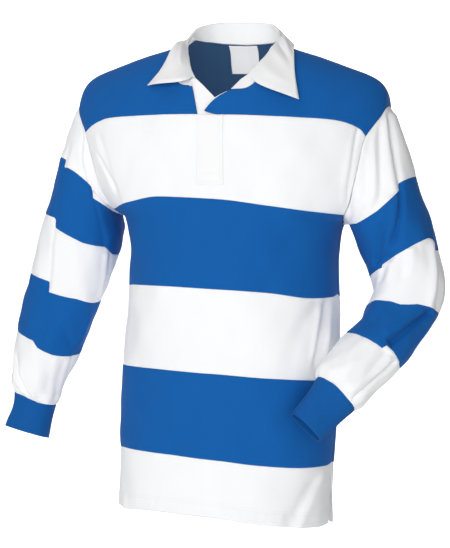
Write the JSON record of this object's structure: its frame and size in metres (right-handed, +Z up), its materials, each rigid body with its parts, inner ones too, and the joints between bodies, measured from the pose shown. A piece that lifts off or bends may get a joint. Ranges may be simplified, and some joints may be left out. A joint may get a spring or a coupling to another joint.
{
  "type": "rugby shirt",
  "caption": "Long-sleeved hooped rugby shirt with a twill collar, open neck placket, rib cuffs and side vents, in its worn hollow form.",
  "frame": {"origin": "centre of the neck opening at the height of the shoulder seams' neck ends", "axes": "+Z up, -Y the way the front faces, +X the wearer's left"},
  "size_m": [0.6765, 0.2683, 0.7818],
  "materials": {
    "front_right_yoke": "royal blue cotton jersey, matt",
    "front_left_yoke": "royal blue cotton jersey, matt",
    "back_yoke": "royal blue cotton jersey, matt",
    "front_chest_hoop": "white cotton jersey, matt",
    "back_chest_hoop": "white cotton jersey, matt",
    "front_waist_hoop": "royal blue cotton jersey, matt",
    "back_waist_hoop": "royal blue cotton jersey, matt",
    "front_belly_hoop": "white cotton jersey, matt",
    "back_belly_hoop": "white cotton jersey, matt",
    "front_hip_hoop": "royal blue cotton jersey, matt",
    "back_hip_hoop": "royal blue cotton jersey, matt",
    "front_hem_hoop": "white cotton jersey, matt",
    "back_hem_hoop": "white cotton jersey, matt",
    "left_sleeve_cap": "white cotton jersey, matt",
    "left_sleeve_upper_arm_hoop": "royal blue cotton jersey, matt",
    "left_sleeve_elbow_hoop": "white cotton jersey, matt",
    "left_sleeve_forearm_hoop": "royal blue cotton jersey, matt",
    "left_sleeve_wrist_hoop": "white cotton jersey, matt",
    "left_cuff": "royal blue rib knit",
    "right_sleeve_cap": "white cotton jersey, matt",
    "right_sleeve_upper_arm_hoop": "royal blue cotton jersey, matt",
    "right_sleeve_elbow_hoop": "white cotton jersey, matt",
    "right_sleeve_forearm_hoop": "royal blue cotton jersey, matt",
    "right_sleeve_wrist_hoop": "white cotton jersey, matt",
    "right_cuff": "royal blue rib knit",
    "collar_stand": "white cotton twill",
    "collar_fall": "white cotton twill",
    "placket_underlay": "white cotton twill",
    "placket_band": "white cotton twill",
    "placket_facing": "white cotton twill",
    "neck_label": "white cotton twill"
  },
  "bodies": {
    "root": {"front_right_yoke": "front_right_yoke", "front_left_yoke": "front_left_yoke", "back_yoke": "back_yoke", "front_chest_hoop": "front_chest_hoop", "back_chest_hoop": "back_chest_hoop", "front_waist_hoop": "front_waist_hoop", "back_waist_hoop": "back_waist_hoop", "front_belly_hoop": "front_belly_hoop", "back_belly_hoop": "back_belly_hoop", "front_hip_hoop": "front_hip_hoop", "back_hip_hoop": "back_hip_hoop", "front_hem_hoop": "front_hem_hoop", "back_hem_hoop": "back_hem_hoop", "left_sleeve_cap": "left_sleeve_cap", "left_sleeve_upper_arm_hoop": "left_sleeve_upper_arm_hoop", "left_sleeve_elbow_hoop": "left_sleeve_elbow_hoop", "left_sleeve_forearm_hoop": "left_sleeve_forearm_hoop", "left_sleeve_wrist_hoop": "left_sleeve_wrist_hoop", "left_cuff": "left_cuff", "right_sleeve_cap": "right_sleeve_cap", "right_sleeve_upper_arm_hoop": "right_sleeve_upper_arm_hoop", "right_sleeve_elbow_hoop": "right_sleeve_elbow_hoop", "right_sleeve_forearm_hoop": "right_sleeve_forearm_hoop", "right_sleeve_wrist_hoop": "right_sleeve_wrist_hoop", "right_cuff": "right_cuff", "collar_stand": "collar_stand", "collar_fall": "collar_fall", "placket_underlay": "placket_underlay", "placket_band": "placket_band", "placket_facing": "placket_facing", "neck_label": "neck_label"}
  },
  "joints": []
}
